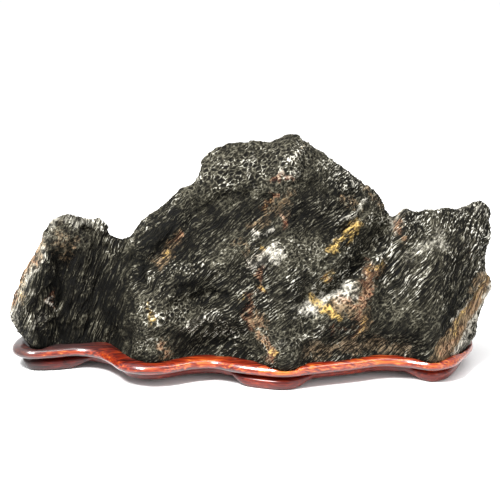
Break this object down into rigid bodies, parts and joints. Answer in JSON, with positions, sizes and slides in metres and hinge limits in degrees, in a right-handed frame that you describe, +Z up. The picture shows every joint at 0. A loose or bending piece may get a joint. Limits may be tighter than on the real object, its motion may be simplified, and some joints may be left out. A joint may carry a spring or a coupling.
{
  "type": "suiseki",
  "caption": "Dark ribbed viewing stone shaped like a mountain range, resting in a low carved and lacquered wooden stand cut to its foot.",
  "frame": {"origin": "on the surface the stand rests on, under the middle of the whole object's width and depth", "axes": "+X to the right along the range as seen from the front, +Y to the back, -Y towards the viewer, +Z up"},
  "size_m": [0.4036, 0.1396, 0.1935],
  "materials": {
    "stone": "rough weathered rock, dark grey with pale worn ridges and rust and quartz veins",
    "lacquered_wood": "glossy red-brown lacquer"
  },
  "bodies": {
    "root": {"stone": "stone", "wooden_stand": "lacquered_wood"}
  },
  "joints": []
}
